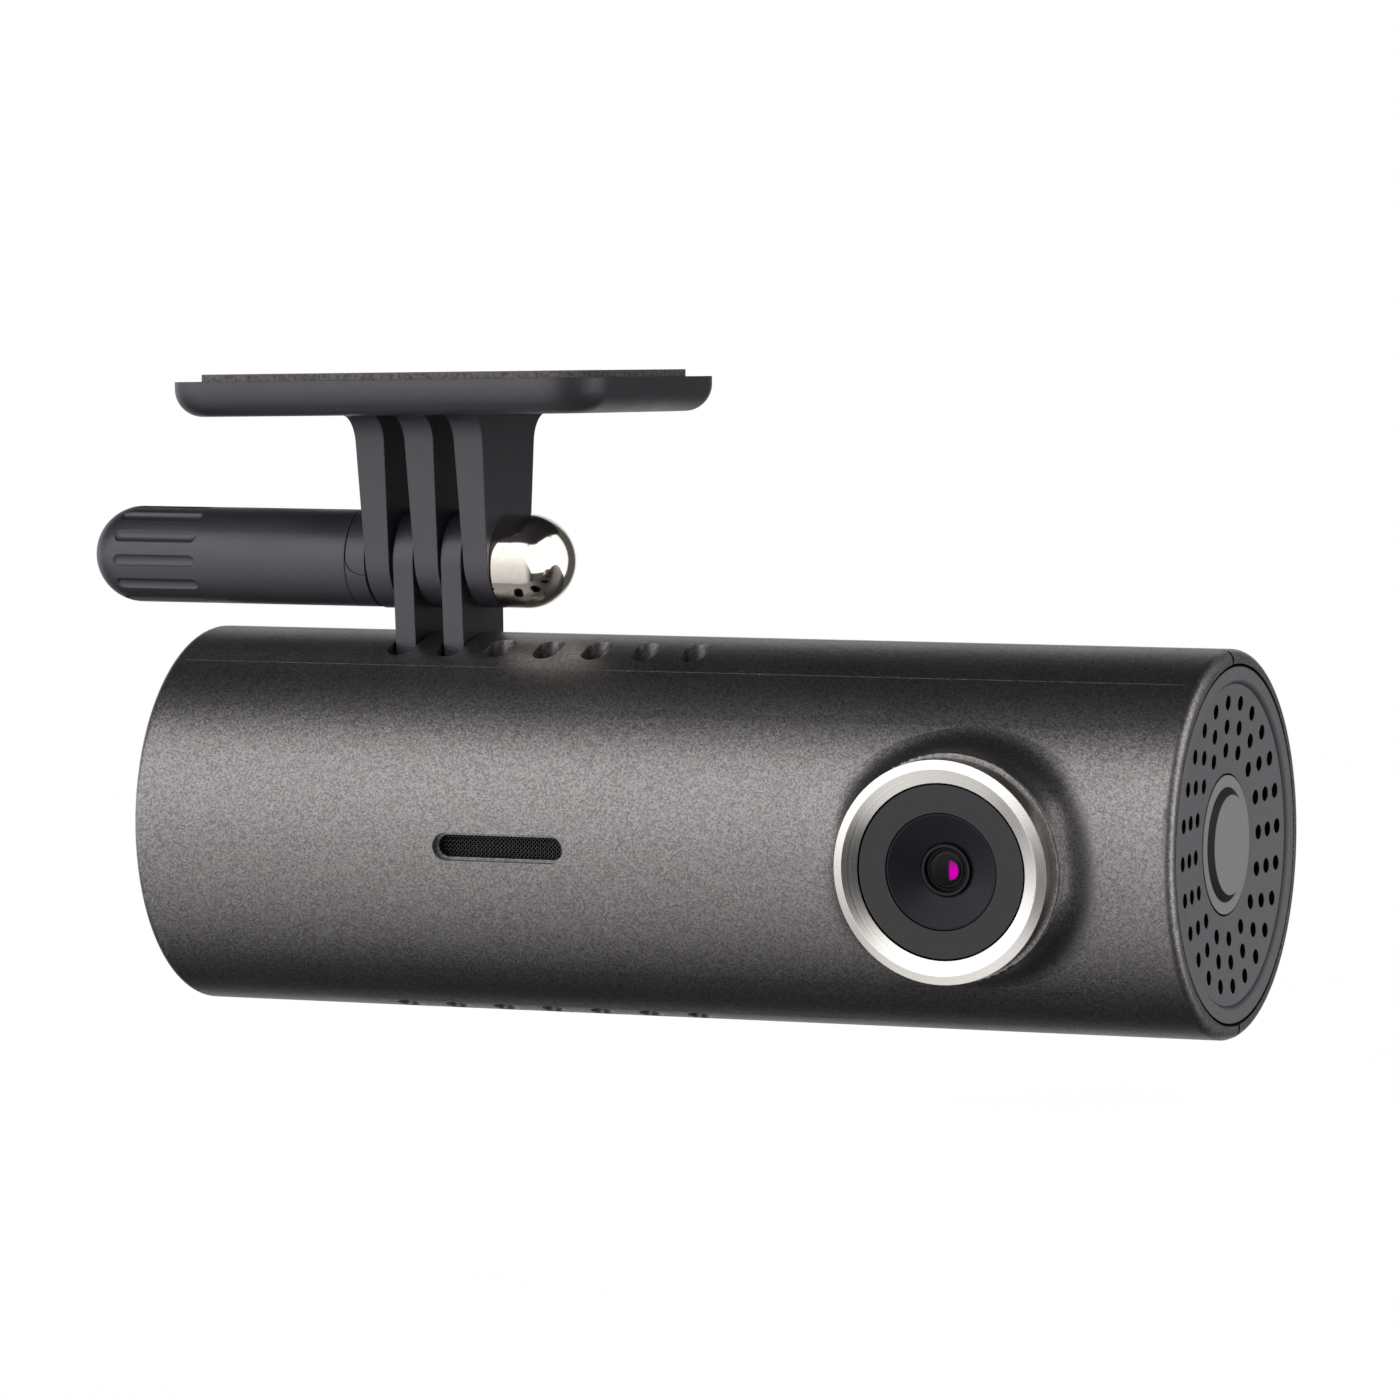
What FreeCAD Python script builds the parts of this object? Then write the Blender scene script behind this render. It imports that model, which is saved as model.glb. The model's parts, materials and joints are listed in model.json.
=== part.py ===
import FreeCAD, Part

# Cylindrical dash camera that hangs from an adhesive windscreen bracket. Millimetres.
#
# Row frame: the origin is the centre of the adhesive face, +Z points out of that face towards the
# glass, +X runs along the bracket towards the camera's speaker end, and the lens looks along -Y.
# Pivot frame: the origin is on the clamping bolt's axis, x along the bolt. It hangs below the
# bracket with a little roll, the play that the bolt has in its holes.
# Barrel frame: the origin is the middle of the barrel's axis, x along it, y towards the rear and
# z up. It hangs on the pivot at the rest tilt. The camera's own pieces are drawn in it.

import math
import os

V = FreeCAD.Vector
ORIGIN = V(0, 0, 0)
X = V(1, 0, 0)
Y = V(0, 1, 0)
Z = V(0, 0, 1)

# ---- driving dimensions: barrel -----------------------------------------------------------------
BODY_R = 17.0
BODY_LEN = 98.65
WALL = 1.6
RIM_ROUND = 0.9         # rounding of the barrel's two end rims
SEAM = 0.16             # gap between the front and rear shells
SEAM_NOTCH_W = 0.44     # notch where the seam crosses each end rim
SEAM_NOTCH_DEPTH = 0.4
PART_LINE_ANGLE = 28.8  # moulding line on the front shell, degrees forward of the top
INNER_R = BODY_R - WALL
END = BODY_LEN / 2
FAR = 30.0              # reaches past the barrel in every cross direction

CAP_R = 15.6            # end caps
CAP_GAP = 0.16
CAP_T = 2.2
CAP_FACE = END - 0.05
CAP_SEAT = END - CAP_T
CAP_BEVEL = 0.12
PANEL_R = 14.35         # dished panel sunk into each cap
PANEL_DEPTH = 0.34
PANEL_SLOPE = 0.07
GRILLE_RINGS = ((12.4, 24), (10.3, 20), (8.25, 16))
GRILLE_HOLE_R = 0.66

BUTTON_R = 6.05         # power button in the speaker cap
BUTTON_GAP = 0.17
BUTTON_RING = END - 0.9     # level ring round the button's raised face
BUTTON_RING_R = 5.0
BUTTON_FACE = END - 0.43
BUTTON_FACE_R = 4.38
BUTTON_FLANGE_R = 7.0
BUTTON_FLANGE_T = 0.65
BUTTON_BACK = 46.1

LENS_X = 30.15          # lens axis along the barrel
BOSS_R = 10.05
BOSS_FRONT = -19.3
BOSS_FILLET = 4.0
BOSS_EDGE = 0.25
LENS_BORE_R = 8.65
LENS_BORE_END = -6.0

VENT_PITCH = 4.73       # ventilation slots, top and bottom
VENT_MID_X = -13.375
VENT_W = 2.3
VENT_NEAR = 2.9
VENT_FAR = 6.7
VENTS = range(-3, 4)

MIC_SLOT_W = 12.5
MIC_SLOT_H = 2.45
MIC_STEP = 0.25         # rim round the slot's inner opening
MIC_STEP_DEPTH = 0.8

# ---- driving dimensions: adhesive, bracket and pivot --------------------------------------------
FILM_T = 0.12
FOAM_T = 0.52
PAD_INSET = 2.25
PAD_CORNER = 3.2
PLATE_W = 42.0
PLATE_D = 32.0
PLATE_T = 3.14
PLATE_CORNER = 5.0
PLATE_EDGE = 2.5
PLATE_TOP = -(FILM_T + FOAM_T)
PLATE_BOTTOM = PLATE_TOP - PLATE_T

PIVOT = V(-0.2, 0.55, -16.88)   # bolt axis below and a little behind the plate's middle
PIVOT_ROLL = 1.1                # degrees of play between bolt and bracket
REST_TILT = 4.4                 # the lens looks this many degrees down at rest
MOUNT_X = -25.27                # barrel station of the pivot
PIVOT_H = 23.57                 # bolt axis above the barrel's axis

PRONG_PITCH = 4.85      # bracket's three prongs
PRONG_W = 2.34
PRONG_DRAFT = 1.27
PRONG_END_R = 4.65
PRONG_LIFT = 0.3        # the round end's centre above the bolt
PRONG_FRONT_TAPER = 6.3
PRONG_BACK_TAPER = 3.6
PRONG_FLARE = 2.7
PRONG_HOLE_R = 2.1
FINGER_PITCH = 4.73     # camera's two fingers
FINGER_W = 1.96
FINGER_END_R = 4.5
FINGER_TAPER = -1.6
FINGER_HOLE_R = 2.05

BOLT_R = 2.0
THREAD_PITCH = 0.7
THREAD_DEPTH = 0.22
THREAD_TURNS = 16
DOME_R = 4.25           # domed head of the bolt
DOME_STRAIGHT = 1.95
DOME_FOOT = PRONG_PITCH + PRONG_W / 2 + 0.05
KNOB_R = 4.38
KNOB_TIP = -35.0
COLLAR_RIGHT = -6.26
COLLAR_T = 1.95
COLLAR_GAP = 0.06
COLLAR_LEFT = COLLAR_RIGHT - COLLAR_T
KNOB_RIGHT = COLLAR_LEFT - COLLAR_GAP
INSERT_R = 3.2          # threaded insert in the knob
INSERT_LEN = 9.0
INSERT_BORE_R = 2.06
BOLT_TIP = KNOB_RIGHT - 14.0
FLUTES = 12
FLUTE_PHASE = 6.6       # degrees of the first flute forward of the top
FLUTE_W = 1.15
FLUTE_LEN = 8.65
FLUTE_DEPTH = 0.3
FLUTE_START = 3.1       # from the knob's tip
LATCH_LOW = -19.4       # ends of the collar's latch, degrees above the front
LATCH_HIGH = 62.0
LATCH_GAP = 0.7         # degrees
LATCH_INNER_R = 3.3
LATCH_CORNER = 1.6

# ---- driving dimensions: inside the barrel ------------------------------------------------------
BOARD_TOP = -3.4        # main board, level with the barrel's axis
BOARD_T = 1.2
BOARD_BOTTOM = BOARD_TOP - BOARD_T
BOARD_POSTS = [(-40.0, 8.5), (12.5, 8.5), (-40.0, -8.5), (12.5, -8.5)]
FORK_SCREWS = [(-34.27, 4.5), (-16.27, 4.5)]
FORK_BASE_LOW = 11.2
FORK_BASE_TOP = 12.95
SCREW_CORE_R = 0.92
PORT_WALL = 14.4        # inner face of the connector panel
POCKET_FLOOR = 16.1     # bottom of the connector pocket
USB_X = -2.0
CARD_X = -22.0
CARD_LOW = -3.0
CARD_T = 1.0
LAMP_X = 9.0
RESET_X = 5.0
PORT_Z = -2.6           # height of the indicator and of the reset button
USB_Z = -2.05
LAMP_HOLE_R = 0.85
RESET_HOLE_R = 0.55
SENSOR_BACK = -6.05     # front face of the sensor board
SPEAKER_BACK = 40.3

PRONG_XS = [PRONG_PITCH * k for k in (-1, 0, 1)]
FINGER_XS = [FINGER_PITCH * k for k in (-0.5, 0.5)]


# ---- helpers ------------------------------------------------------------------------------------
def box(x0, x1, y0, y1, z0, z1):
    return Part.makeBox(x1 - x0, y1 - y0, z1 - z0, V(x0, y0, z0))


def cyl_x(radius, x0, x1, y=0.0, z=0.0):
    return Part.makeCylinder(radius, x1 - x0, V(x0, y, z), X)


def cyl_y(radius, y0, y1, x=0.0, z=0.0):
    return Part.makeCylinder(radius, y1 - y0, V(x, y0, z), Y)


def cyl_z(radius, z0, z1, x=0.0, y=0.0):
    return Part.makeCylinder(radius, z1 - z0, V(x, y, z0), Z)


def fuse(shapes):
    return shapes[0].fuse(shapes[1:]).removeSplitter()


def cut(shape, tools):
    return shape.cut(Part.makeCompound(tools))


def polygon(points):
    return Part.Face(Part.makePolygon(points + points[:1]))


def revolve_x(profile):
    """Solid of revolution about the X axis. profile holds (x, radius) pairs."""
    face = polygon([V(x, 0, r) for x, r in profile])
    return face.revolve(ORIGIN, X, 360)


def revolve_lens(profile):
    """Solid of revolution about the lens axis. profile holds (y, radius) pairs."""
    face = polygon([V(LENS_X, y, r) for y, r in profile])
    return face.revolve(V(LENS_X, 0, 0), Y, 360)


def stadium_z(width, y0, y1, z0, z1, x):
    """Upright prism with a round-ended outline that runs along Y."""
    r = width / 2
    ends = [cyl_z(r, z0, z1, x, y) for y in (y0 + r, y1 - r)]
    return fuse([box(x - r, x + r, y0 + r, y1 - r, z0, z1)] + ends)


def stadium_y(width, height, y0, y1, x, z):
    """Prism along Y with a round-ended outline that runs along X."""
    r = height / 2
    half = width / 2 - r
    ends = [cyl_y(r, y0, y1, x + side * half, z) for side in (-1, 1)]
    return fuse([box(x - half, x + half, y0, y1, z - r, z + r)] + ends)


def upright(edge):
    ends = [v.Point for v in edge.Vertexes]
    if len(ends) != 2:
        return False
    along = ends[1] - ends[0]
    return math.hypot(along.x, along.y) < 1e-6 < abs(along.z)


def at_z(edge, z):
    return abs(edge.BoundBox.ZMin - z) < 1e-6 and abs(edge.BoundBox.ZMax - z) < 1e-6


def at_x(edge, x):
    return abs(edge.BoundBox.XMin - x) < 1e-6 and abs(edge.BoundBox.XMax - x) < 1e-6


def rounded_plate(width, depth, z0, z1, corner):
    plate = box(-width / 2, width / 2, -depth / 2, depth / 2, z0, z1)
    return plate.makeFillet(corner, [e for e in plate.Edges if upright(e)])


def rounded_block_y(x0, x1, z0, z1, y0, y1, corner):
    """Block along Y whose four edges along Y are rounded."""
    block = box(x0, x1, y0, y1, z0, z1)
    along = [e for e in block.Edges if abs(e.BoundBox.YLength - (y1 - y0)) < 1e-6
             and e.BoundBox.XLength + e.BoundBox.ZLength < 1e-6]
    return block.makeFillet(corner, along)


def lead(points, radius, bend):
    """Round wire along straight runs joined by tangent arcs of one bend radius."""
    edges = []
    start = points[0]
    for before, corner, after in zip(points, points[1:], points[2:]):
        a = (before - corner).normalize()
        b = (after - corner).normalize()
        half = a.getAngle(b) / 2
        back = bend / math.tan(half)
        middle = (a + b).normalize() * (bend / math.sin(half) - bend)
        arc_start = corner + a * back
        edges.append(Part.LineSegment(start, arc_start).toShape())
        edges.append(Part.Arc(arc_start, corner + middle, corner + b * back).toShape())
        start = corner + b * back
    edges.append(Part.LineSegment(start, points[-1]).toShape())
    section = Part.Wire(Part.makeCircle(radius, points[0], points[1] - points[0]))
    return Part.Wire(edges).makePipeShell([section], True, True)


def screw_up(x, y, face_z, tip_z, head_r=1.7, head_h=1.1, shank_r=0.9):
    """Pan-head screw driven upwards: its head hangs under face_z and its shank ends at tip_z."""
    head = cyl_z(head_r, face_z - head_h, face_z, x, y)
    shank = cyl_z(shank_r, face_z, tip_z, x, y)
    low = face_z - head_h
    cross = [box(x - a, x + a, y - b, y + b, low - 0.5, low + 0.5) for a, b in ((1.0, 0.2), (0.2, 1.0))]
    return cut(fuse([head, shank]), cross)


def screw_down(x, y, face_z, tip_z):
    screw = screw_up(x, y, face_z, 2 * face_z - tip_z)
    return screw.mirror(V(x, y, face_z), Z)


def place_pivot(shape):
    """From the pivot frame to the row frame."""
    placed = shape.copy()
    placed.rotate(ORIGIN, Y, PIVOT_ROLL)
    placed.translate(PIVOT)
    return placed


def place_camera(shape):
    """From the barrel frame to the row frame, hanging on the pivot at the rest tilt."""
    placed = shape.copy()
    placed.translate(V(-MOUNT_X, 0, -PIVOT_H))
    placed.rotate(ORIGIN, X, REST_TILT)
    return place_pivot(placed)


def place_row(shape):
    return shape


# ---- bracket and adhesive -----------------------------------------------------------------------
def finger_side(way, end_r, taper_deg, height, flare):
    """One side of a finger's outline in the YZ plane: the edges from the round end to the root,
    and the outline's two end points on that side."""
    taper = math.radians(taper_deg)
    outward = V(0, way * math.cos(taper), -math.sin(taper))
    start = outward * end_r
    if not flare:
        root = V(0, way * (end_r / math.cos(taper) + height * math.tan(taper)), height)
        return [Part.LineSegment(start, root).toShape()], start, root
    depth = (end_r + flare + (height - flare) * math.sin(taper)) / math.cos(taper)
    middle = V(0, way * depth, height - flare)
    knee = middle - outward * flare
    bend = middle + (Z - outward).normalize() * flare
    root = middle + Z * flare
    edges = [Part.LineSegment(start, knee).toShape(), Part.Arc(knee, bend, root).toShape()]
    return edges, start, root


def finger_outline(end_r, front_taper, back_taper, height, flare):
    """Outline of a finger about the pivot: a round end, two straight flanks that leave it at a
    tangent, and, where flare isn't 0, a fillet of that radius onto the root."""
    front, front_start, front_root = finger_side(-1, end_r, front_taper, height, flare)
    back, back_start, back_root = finger_side(1, end_r, back_taper, height, flare)
    nose = Part.Arc(front_start, V(0, 0, -end_r), back_start).toShape()
    root = Part.LineSegment(back_root, front_root).toShape()
    return Part.Face(Part.Wire([nose] + back + [root] + front[::-1]))


def draft_wedge(width, draft_deg, low, high):
    """Upright wedge, width across X at height 0 and wider above it."""
    slope = math.tan(math.radians(draft_deg))
    a = width / 2 + low * slope
    b = width / 2 + high * slope
    face = polygon([V(-a, -FAR, low), V(a, -FAR, low), V(b, -FAR, high), V(-b, -FAR, high)])
    return face.extrude(Y * 2 * FAR)


def mount_bracket():
    plate = rounded_plate(PLATE_W, PLATE_D, PLATE_BOTTOM, PLATE_TOP, PLATE_CORNER)
    plate = plate.makeFillet(PLATE_EDGE, [e for e in plate.Edges if at_z(e, PLATE_BOTTOM)])
    rise = PLATE_BOTTOM - PIVOT.z
    bury = 0.3
    height = rise - PRONG_LIFT
    outline = finger_outline(PRONG_END_R, PRONG_FRONT_TAPER, PRONG_BACK_TAPER, height, PRONG_FLARE)
    prong = outline.extrude(X * 2 * PRONG_W)
    prong.translate(V(-PRONG_W, 0, PRONG_LIFT))
    root = [f for f in prong.Faces if at_z(f, rise)][0]
    prong = fuse([prong, root.extrude(Z * bury)])
    prong = prong.common(draft_wedge(PRONG_W, PRONG_DRAFT, -2 * PRONG_END_R, rise + bury))
    prongs = [prong.translated(PIVOT + X * x) for x in PRONG_XS]
    hole = place_pivot(cyl_x(PRONG_HOLE_R, -FAR, FAR))
    return cut(fuse([plate] + prongs), [hole])


def adhesive_foam():
    return rounded_plate(PLATE_W - 2 * PAD_INSET, PLATE_D - 2 * PAD_INSET, PLATE_TOP, -FILM_T, PAD_CORNER)


def adhesive_film():
    return rounded_plate(PLATE_W - 2 * PAD_INSET, PLATE_D - 2 * PAD_INSET, -FILM_T, 0, PAD_CORNER)


# ---- pivot hardware, in the pivot frame ---------------------------------------------------------
def round_ended(radius, tip, foot):
    """Cylinder along X from foot to tip, whose end at tip is a hemisphere."""
    way = 1 if tip > foot else -1
    middle = tip - way * radius
    rod = cyl_x(radius, min(middle, foot), max(middle, foot))
    return fuse([rod, Part.makeSphere(radius, V(middle, 0, 0)).common(half_space(middle, way))])


def half_space(x, way):
    return box(min(x, x + way * FAR), max(x, x + way * FAR), -FAR, FAR, -FAR, FAR)


def pivot_bolt():
    dome = round_ended(DOME_R, DOME_FOOT + DOME_STRAIGHT + DOME_R, DOME_FOOT)
    shank = cyl_x(BOLT_R, BOLT_TIP, DOME_FOOT + 1)
    thread = []
    for turn in range(THREAD_TURNS):
        x = BOLT_TIP + THREAD_PITCH * (turn + 1)
        crest = BOLT_R + 0.1
        groove = [(x, crest), (x + THREAD_PITCH / 2, crest), (x + THREAD_PITCH / 4, BOLT_R - THREAD_DEPTH)]
        thread.append(revolve_x(groove))
    return cut(fuse([dome, shank]), thread)


def flute(angle):
    """Round-bottomed groove along the knob's grip, at one angle about its axis."""
    radius = (FLUTE_W ** 2 / 4 + FLUTE_DEPTH ** 2) / (2 * FLUTE_DEPTH)
    height = KNOB_R - FLUTE_DEPTH + radius
    x0 = KNOB_TIP + FLUTE_START + radius
    x1 = KNOB_TIP + FLUTE_START + FLUTE_LEN - radius
    balls = [Part.makeSphere(radius, V(x, 0, height)) for x in (x0, x1)]
    groove = fuse([cyl_x(radius, x0, x1, 0, height)] + balls)
    groove.rotate(ORIGIN, X, angle)
    return groove


def thumb_knob():
    body = round_ended(KNOB_R, KNOB_TIP, KNOB_RIGHT)
    grooves = [flute(FLUTE_PHASE + 360 * k / FLUTES) for k in range(FLUTES)]
    bore = cyl_x(INSERT_R, BOLT_TIP - 1, KNOB_RIGHT + 1)
    return cut(body, grooves + [bore])


def knob_insert():
    """Threaded insert pressed into the knob."""
    outer = cyl_x(INSERT_R, KNOB_RIGHT - INSERT_LEN, KNOB_RIGHT - 0.1)
    return cut(outer, [cyl_x(INSERT_BORE_R, KNOB_RIGHT - INSERT_LEN - 1, KNOB_RIGHT)])


def collar_sector(low, high, inner_r, outer_r, x0, x1):
    """Part of a ring about the bolt between two angles measured up from the front."""
    ring = cyl_x(outer_r, x0, x1).cut(cyl_x(inner_r, x0 - 1, x1 + 1))
    reach = 3 * outer_r
    steps = 6
    points = [V(x0 - 1, 0, 0)]
    for k in range(steps + 1):
        a = math.radians(low + (high - low) * k / steps)
        points.append(V(x0 - 1, -reach * math.cos(a), reach * math.sin(a)))
    wedge = polygon(points).extrude(X * (x1 - x0 + 2))
    return ring.common(wedge)


def latch_tab(clearance_deg, inner_r, outer_r, x0, x1):
    """Snap tab shape with its two corners at x0 rounded."""
    tab = collar_sector(LATCH_LOW + clearance_deg, LATCH_HIGH - clearance_deg, inner_r, outer_r, x0, x1)
    across = [e for e in tab.Edges if at_x(e, x0) and e.Length < outer_r - inner_r + 0.1]
    return tab.makeFillet(LATCH_CORNER, across)


def thrust_collar():
    """Ring between knob and bracket. It rides out with the knob but doesn't turn."""
    ring = cyl_x(KNOB_R, COLLAR_LEFT, COLLAR_RIGHT)
    window = latch_tab(0, LATCH_INNER_R, KNOB_R + 1, COLLAR_LEFT, COLLAR_RIGHT + 1)
    return cut(ring, [window, cyl_x(PRONG_HOLE_R, COLLAR_LEFT - 1, COLLAR_RIGHT + 1)])


def collar_latch():
    """Snap tab that fills the window in the thrust collar."""
    return latch_tab(LATCH_GAP, LATCH_INNER_R + 0.02, KNOB_R, COLLAR_LEFT + 0.06, COLLAR_RIGHT)


# ---- barrel shells ------------------------------------------------------------------------------
def rounded_barrel():
    body = cyl_x(BODY_R, -END, END)
    body.rotate(ORIGIN, X, -90)
    rims = [e for e in body.Edges if e.BoundBox.XLength < 1e-6]
    return body.makeFillet(RIM_ROUND, rims)


def outer_form():
    """Outside of the barrel with the lens boss blended into it."""
    boss = cyl_y(BOSS_R, BOSS_FRONT, LENS_BORE_END, LENS_X)
    front = [e for e in boss.Edges if e.BoundBox.YMax < BOSS_FRONT + 1e-5]
    form = fuse([rounded_barrel(), boss.makeFillet(BOSS_EDGE, front)])

    def on_both(edge):
        points = edge.discretize(7)
        on_barrel = all(abs(math.hypot(p.y, p.z) - BODY_R) < 1e-3 and p.y < 0 for p in points)
        return on_barrel and all(abs(math.hypot(p.x - LENS_X, p.z) - BOSS_R) < 1e-3 for p in points)

    return form.makeFillet(BOSS_FILLET, [e for e in form.Edges if on_both(e)])


def cavity():
    """Inside of the barrel: the bore and the two cap seats."""
    return [cyl_x(INNER_R, -END - 1, END + 1),
            cyl_x(CAP_R + CAP_GAP, CAP_SEAT, END + 1),
            cyl_x(CAP_R + CAP_GAP, -END - 1, -CAP_SEAT)]


def fork_slots():
    """Openings in the top of the barrel that the fork's two fingers come through."""
    return [stadium_z(VENT_W, -VENT_FAR, VENT_FAR, 8, BODY_R + 1, MOUNT_X + x) for x in FINGER_XS]


def vents(near, far, low, high):
    """One row of slots between two depths and two heights."""
    return [stadium_z(VENT_W, near, far, low, high, VENT_MID_X + VENT_PITCH * k) for k in VENTS]


def post(x, y, radius, z0, z1):
    """Screw post that stands on the inside of the barrel's wall."""
    return cyl_z(radius, z0, z1, x, y).common(cyl_x(INNER_R + WALL / 3, -END, END))


def board_posts(side):
    return [post(x, y, 2.0, -BODY_R, BOARD_BOTTOM) for x, y in BOARD_POSTS if y * side > 0]


def board_screw_holes(side):
    return [cyl_z(SCREW_CORE_R, -14, 0, x, y) for x, y in BOARD_POSTS if y * side > 0]


def mic_slot():
    outside = -BODY_R - 1
    wide = stadium_y(MIC_SLOT_W, MIC_SLOT_H, outside, -BODY_R + MIC_STEP_DEPTH, VENT_MID_X, 0)
    inner_w = MIC_SLOT_W - 2 * MIC_STEP
    inner_h = MIC_SLOT_H - 2 * MIC_STEP
    return [wide, stadium_y(inner_w, inner_h, outside, -INNER_R + 1, VENT_MID_X, 0)]


def seam_notches():
    """Small notches in the end rims, above and below, where the two shells meet."""
    half = SEAM_NOTCH_W / 2
    notches = []
    for x0, x1 in ((END - SEAM_NOTCH_DEPTH, END + 1), (-END - 1, -END + SEAM_NOTCH_DEPTH)):
        notches += [box(x0, x1, -half, half, INNER_R, FAR), box(x0, x1, -half, half, -FAR, -INNER_R)]
    return notches


def front_parting_line():
    """Fine moulding line along the front shell."""
    line_r = 0.05
    inset = 1.4
    angle = math.radians(PART_LINE_ANGLE)
    axis_r = BODY_R + 0.03
    return cyl_x(line_r, -END + inset, END - inset, -axis_r * math.sin(angle), axis_r * math.cos(angle))


def front_shell():
    half = outer_form().common(box(-FAR * 2, FAR * 2, -FAR, -SEAM / 2, -FAR, FAR))
    lens_bore = cyl_y(LENS_BORE_R, BOSS_FRONT - 1, LENS_BORE_END, LENS_X)
    shell = fuse([cut(half, cavity() + [lens_bore])] + board_posts(-1))
    slots = vents(-VENT_FAR, -VENT_NEAR, -BODY_R - 1, -8) + vents(-VENT_FAR, -VENT_NEAR, 8, BODY_R + 1)
    slots += fork_slots() + mic_slot() + seam_notches()
    return cut(shell, slots + [front_parting_line()] + board_screw_holes(-1))


def connector_openings():
    """Openings through the connector panel: power, card with its finger dip, indicator and reset."""
    inside = PORT_WALL - 1
    dip_floor = POCKET_FLOOR - 0.7
    return [stadium_y(8.3, 3.5, inside, BODY_R, USB_X, USB_Z),
            rounded_block_y(CARD_X - 6.0, CARD_X + 6.0, CARD_LOW - 0.3, CARD_LOW + 1.3, inside, BODY_R, 0.4),
            rounded_block_y(CARD_X - 2.6, CARD_X + 2.6, CARD_LOW - 1.4, CARD_LOW + 2.4, dip_floor, BODY_R, 0.7),
            cyl_y(LAMP_HOLE_R, inside, BODY_R, LAMP_X, PORT_Z),
            cyl_y(RESET_HOLE_R, inside, BODY_R, RESET_X, PORT_Z)]


def rear_shell():
    half = rounded_barrel().common(box(-FAR * 2, FAR * 2, SEAM / 2, FAR, -FAR, FAR))
    panel = rounded_block_y(-35.0, 16.0, -6.4, 3.4, PORT_WALL, POCKET_FLOOR + 0.3, 2.0)
    pocket = rounded_block_y(-33.0, 14.0, -5.2, 2.2, POCKET_FLOOR, BODY_R + 1, 1.8)
    bosses = [post(x, y, 2.2, FORK_BASE_TOP + 0.05, BODY_R) for x, y in FORK_SCREWS]
    shell = fuse([cut(half, cavity()), panel] + board_posts(1) + bosses)
    slots = vents(VENT_NEAR, VENT_FAR, -BODY_R - 1, -8)
    screws = [cyl_z(SCREW_CORE_R, 8, 15.7, x, y) for x, y in FORK_SCREWS]
    slots += fork_slots() + seam_notches()
    return cut(shell, [pocket] + connector_openings() + slots + screws + board_screw_holes(1))


# ---- end caps and button ------------------------------------------------------------------------
def dish(radius):
    """Station of the dished panel's surface at a radius."""
    return CAP_FACE - PANEL_DEPTH - PANEL_SLOPE * (PANEL_R - radius)


def cap_blank():
    """Disc with a dished panel, its face towards +X."""
    back = CAP_SEAT + 0.02
    edge_r = PANEL_R - PANEL_DEPTH
    centre_r = BUTTON_R
    return revolve_x([(back, 0), (back, CAP_R), (CAP_FACE - CAP_BEVEL, CAP_R), (CAP_FACE, CAP_R - CAP_BEVEL),
                      (CAP_FACE, PANEL_R), (dish(edge_r), edge_r), (dish(centre_r), centre_r), (dish(centre_r), 0)])


def speaker_cap():
    tools = [cyl_x(BUTTON_R + BUTTON_GAP, CAP_SEAT - 1, END + 1)]
    for radius, count in GRILLE_RINGS:
        for k in range(count):
            a = 2 * math.pi * k / count
            tools.append(cyl_x(GRILLE_HOLE_R, CAP_SEAT - 1, END + 1, radius * math.sin(a), radius * math.cos(a)))
    return cut(cap_blank(), tools)


def blank_cap():
    cap = cap_blank()
    cap.rotate(ORIGIN, Z, 180)
    return cap


def power_button():
    """Button with a raised face in a level ring, and a flange that keeps it in the cap."""
    flange = BUTTON_BACK + BUTTON_FLANGE_T
    soft = 0.05
    return revolve_x([(BUTTON_BACK, 0), (BUTTON_BACK, BUTTON_FLANGE_R), (flange, BUTTON_FLANGE_R),
                      (flange, BUTTON_R), (BUTTON_RING, BUTTON_R), (BUTTON_RING, BUTTON_RING_R),
                      (BUTTON_FACE - soft, BUTTON_FACE_R), (BUTTON_FACE, BUTTON_FACE_R - soft), (BUTTON_FACE, 0)])


def button_board():
    """Narrow board across the barrel that carries the button's switch."""
    return box(43.6, 44.4, -4.0, 4.0, -14.85, 14.85)


def switch_body():
    body = box(44.4, 45.5, -2.1, 2.1, -2.1, 2.1)
    return cut(body, [cyl_x(1.05, 44.9, 46.0)])


def switch_plunger():
    return cyl_x(1.0, BUTTON_BACK - 0.68, BUTTON_BACK - 0.02)


def grille_cloth():
    """Dust cloth behind the speaker holes."""
    disc = cyl_x(13.6, CAP_SEAT - 0.2, CAP_SEAT)
    return cut(disc, [cyl_x(BUTTON_FLANGE_R + 0.3, CAP_SEAT - 1, CAP_SEAT + 1)])


# ---- lens and sensor ----------------------------------------------------------------------------
def lens_bezel():
    """Turned metal ring with an outer chamfer, a crest and an inner cone down to the trim."""
    return revolve_lens([(BOSS_FRONT - 0.02, 9.7), (-21.75, 9.7), (-22.1, 8.9), (-21.45, 7.66), (-20.2, 7.66),
                         (-20.2, 7.9), (-17.6, 7.9), (-17.6, 8.6), (BOSS_FRONT - 0.02, 8.6)])


def lens_trim():
    """Matt ring inside the bezel."""
    return revolve_lens([(-21.4, 5.1), (-21.4, 7.5), (-20.3, 7.5), (-20.3, 5.1)])


def lens_hood():
    """Gloss funnel from the trim down to the lens."""
    return revolve_lens([(-21.32, 5.0), (-21.32, 4.88), (-20.05, 2.36), (-19.6, 2.36), (-19.6, 6.2), (-18.2, 6.2),
                         (-18.2, 7.6), (-20.2, 7.6), (-20.2, 5.0)])


def lens_retainer():
    """Ring that holds the front glass."""
    return revolve_lens([(-20.2, 1.92), (-20.28, 2.0), (-20.28, 2.18), (-20.2, 2.26), (-19.5, 2.26), (-19.5, 1.92)])


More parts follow.
